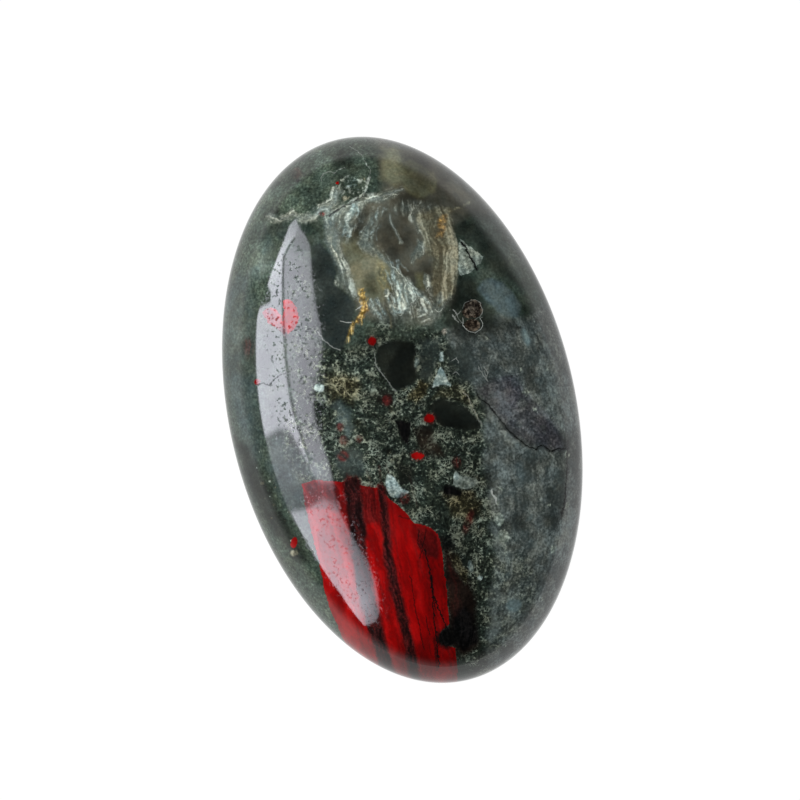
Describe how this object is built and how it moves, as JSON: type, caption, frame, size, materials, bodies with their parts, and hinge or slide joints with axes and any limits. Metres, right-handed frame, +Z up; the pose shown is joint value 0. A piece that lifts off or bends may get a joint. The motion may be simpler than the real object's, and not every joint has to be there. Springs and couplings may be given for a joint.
{
  "type": "bloodstone cabochon",
  "caption": "Oval polished bloodstone cabochon: a domed top over a low upright girdle and a flat back, for setting in a bezel or resting on a surface.",
  "frame": {"origin": "middle of the flat back, which is the lowest face", "axes": "+Z up through the dome's top, +Y along the oval's long axis towards the end that is at the top of the picture, +X across"},
  "size_m": [0.025, 0.0402, 0.0071],
  "materials": {
    "polished_bloodstone": "high polish, dark green chalcedony with red jasper, pale veins and clasts"
  },
  "bodies": {
    "root": {"bloodstone": "polished_bloodstone"}
  },
  "joints": []
}
